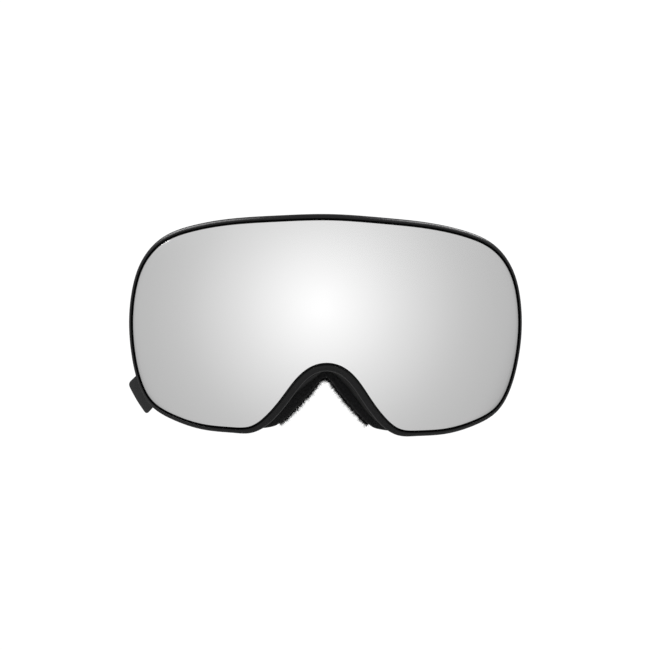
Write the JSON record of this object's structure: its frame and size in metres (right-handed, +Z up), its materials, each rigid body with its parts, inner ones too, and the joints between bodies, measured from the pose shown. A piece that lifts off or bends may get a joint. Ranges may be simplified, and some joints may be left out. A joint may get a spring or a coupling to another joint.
{
  "type": "ski goggles",
  "caption": "Ski goggles: ball-shaped mirrored double lens on a magnetic carrier, soft frame with face foam, hinged strap arms and an elastic head strap with sliders.",
  "frame": {"origin": "the middle of the brow on the fleece face that lies against the skin, at the lens's mid-height", "axes": "+X to the wearer's left, +Y from the lens back towards the head, +Z up"},
  "size_m": [0.185, 0.2509, 0.1013],
  "materials": {
    "mirror_lens": "smooth silver mirror coat on polycarbonate",
    "clear_lens": "clear anti-fog acetate",
    "gasket_foam": "closed-cell foam",
    "carrier_tpu": "satin moulded plastic",
    "frame_tpu": "matte moulded polyurethane",
    "magnet": "nickel plate",
    "vent_foam": "open-cell foam",
    "face_foam": "open-cell foam",
    "comfort_foam": "soft open-cell foam",
    "fleece": "brushed fleece",
    "pin_steel": "drawn stainless steel",
    "arm_plastic": "satin moulded plastic",
    "webbing": "woven elastic webbing",
    "silicone": "printed silicone",
    "buckle_plastic": "semi-gloss moulded acetal"
  },
  "bodies": {
    "root": {"face_frame": "frame_tpu", "frame_magnets": "magnet", "top_vent_foam": "vent_foam", "bottom_vent_foam_left": "vent_foam", "bottom_vent_foam_right": "vent_foam", "foam_base": "face_foam", "foam_comfort": "comfort_foam", "fleece_lining": "fleece", "hinge_pin_left": "pin_steel", "hinge_pin_right": "pin_steel", "strap_rear": "webbing", "strap_grip": "silicone"},
    "lens": {"lens_carrier": "carrier_tpu", "outer_lens": "mirror_lens", "lens_gasket": "gasket_foam", "inner_lens": "clear_lens", "pull_tab": "carrier_tpu", "lens_magnets": "magnet"},
    "arm_left": {"outrigger_left": "arm_plastic", "strap_front_left": "webbing"},
    "arm_right": {"outrigger_right": "arm_plastic", "strap_front_right": "webbing"},
    "buckle_left": {"slider_left": "buckle_plastic", "strap_end_left": "webbing"},
    "buckle_right": {"slider_right": "buckle_plastic", "strap_end_right": "webbing"}
  },
  "joints": [
    {"name": "lens_release", "type": "slide", "parent": "root", "child": "lens", "axis": [0, -1, 0], "range_m": [0, 0.05]},
    {"name": "arm_left_pivot", "type": "hinge", "parent": "root", "child": "arm_left", "pos_m": [0.087, 0.015, 0], "axis": [0, 0, 1], "range_deg": [-20, 2], "deforming": ["strap_front_left"]},
    {"name": "arm_right_pivot", "type": "hinge", "parent": "root", "child": "arm_right", "pos_m": [-0.087, 0.015, 0], "axis": [0, 0, 1], "range_deg": [-2, 20], "deforming": ["strap_front_right"]},
    {"name": "buckle_left_slide", "type": "slide", "parent": "root", "child": "buckle_left", "axis": [-0.0938, 0.9956, 0], "range_m": [-0.008, 0.018]},
    {"name": "buckle_right_slide", "type": "slide", "parent": "root", "child": "buckle_right", "axis": [0.0938, 0.9956, 0], "range_m": [-0.008, 0.018]}
  ]
}
